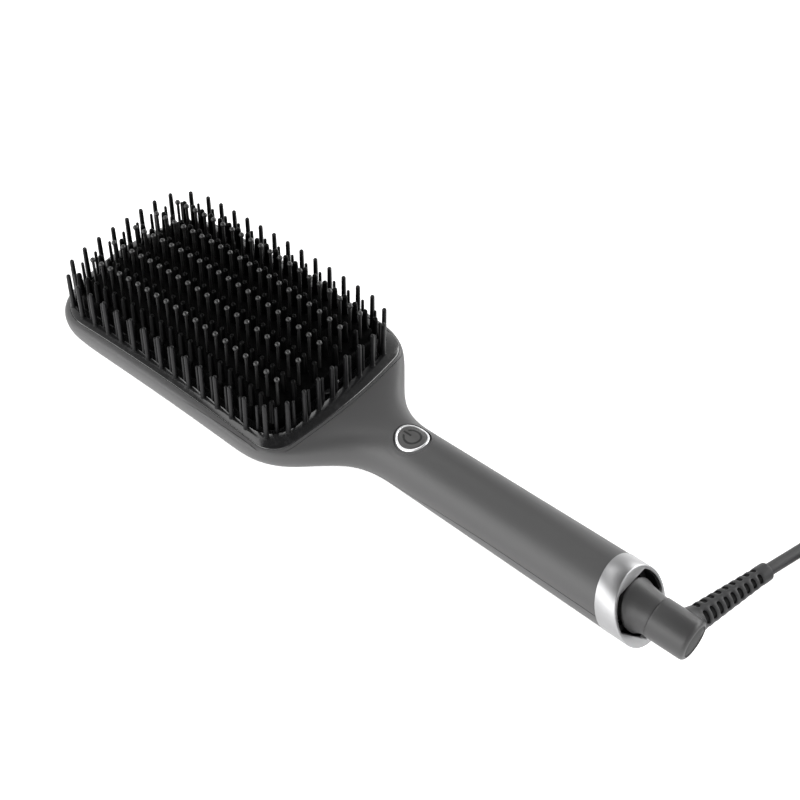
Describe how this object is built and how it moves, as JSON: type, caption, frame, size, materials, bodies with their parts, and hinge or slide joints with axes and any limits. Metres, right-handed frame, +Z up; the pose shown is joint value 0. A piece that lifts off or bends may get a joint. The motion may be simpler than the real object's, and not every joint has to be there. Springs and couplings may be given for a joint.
{
  "type": "hair straightener brush",
  "caption": "Electric paddle brush that straightens hair: heated pin face, cool-tip bristle rim, round handle with power button and a swivelling mains cord.",
  "frame": {"origin": "middle of the brush's underside, halfway between the head's far end and the swivel's end, on the surface it lies on", "axes": "+X from the head towards the cord end along the handle, +Y across the brush, +Z up through the bristles"},
  "size_m": [0.3876, 0.1654, 0.0499],
  "materials": {
    "housing_grey": "soft matt dark grey, very finely textured",
    "bristle_black": "glossy black nylon",
    "ceramic_black": "smooth glossy black ceramic coating on metal",
    "bright_chrome": "polished bright plating",
    "inner_black": "matt black moulded plastic",
    "cord_rubber": "matt dark grey flexible jacket",
    "button_grey": "satin dark grey",
    "symbol_ink": "dark printed mark",
    "board_green": "solder mask over glass laminate",
    "screw_steel": "zinc-plated steel",
    "contact_brass": "plain brass",
    "plug_nickel": "nickel-plated brass",
    "felt_pad": "pressed insulating felt",
    "heater_ceramic": "fired white ceramic",
    "pad_silicone": "grey silicone"
  },
  "bodies": {
    "housing": {"main_shell": "housing_grey", "back_cover": "housing_grey", "cover_screws": "screw_steel", "screw_covers": "housing_grey", "front_frame": "housing_grey", "bristle_tray": "bristle_black", "heater_block": "ceramic_black", "ball_pin_comb": "bristle_black", "heater_left": "heater_ceramic", "heater_right": "heater_ceramic", "clamp_plate": "screw_steel", "insulation_pad": "felt_pad", "heater_carrier": "inner_black", "thermal_fuse": "screw_steel", "thermistor": "heater_ceramic", "light_ring": "bright_chrome", "return_pad": "pad_silicone", "control_board": "board_green", "board_screws": "screw_steel", "tact_switch": "inner_black", "status_led": "heater_ceramic", "filter_capacitor": "inner_black", "triac": "inner_black", "board_fuse": "contact_brass", "control_chip": "inner_black", "connector_block": "heater_ceramic", "slip_contacts": "contact_brass", "heater_leads": "pad_silicone", "end_ring": "bright_chrome", "inner_sleeve": "inner_black", "swivel_boot": "cord_rubber", "swivel_bush": "inner_black"},
    "power_button": {"button_cap": "button_grey", "power_symbol": "symbol_ink"},
    "cord_swivel": {"swivel_spindle": "inner_black", "spindle_rings": "contact_brass", "swivel_barrel": "cord_rubber", "barrel_end_disc": "cord_rubber", "strain_relief": "cord_rubber", "cord_tube": "cord_rubber", "cord_coil": "cord_rubber", "cord_tie": "inner_black", "cord_tail": "cord_rubber", "plug_relief": "cord_rubber", "plug_body": "cord_rubber", "plug_pins": "plug_nickel", "plug_sleeves": "inner_black"}
  },
  "joints": [
    {"name": "button_press", "type": "slide", "parent": "housing", "child": "power_button", "axis": [0, 0, -1], "range_m": [0, 0.0008], "stiffness_N_per_m": 900, "deforming": ["return_pad"]},
    {"name": "cord_turn", "type": "hinge", "parent": "housing", "child": "cord_swivel", "pos_m": [0.137, 0, 0.0139], "axis": [1, 0, 0], "continuous": true}
  ]
}
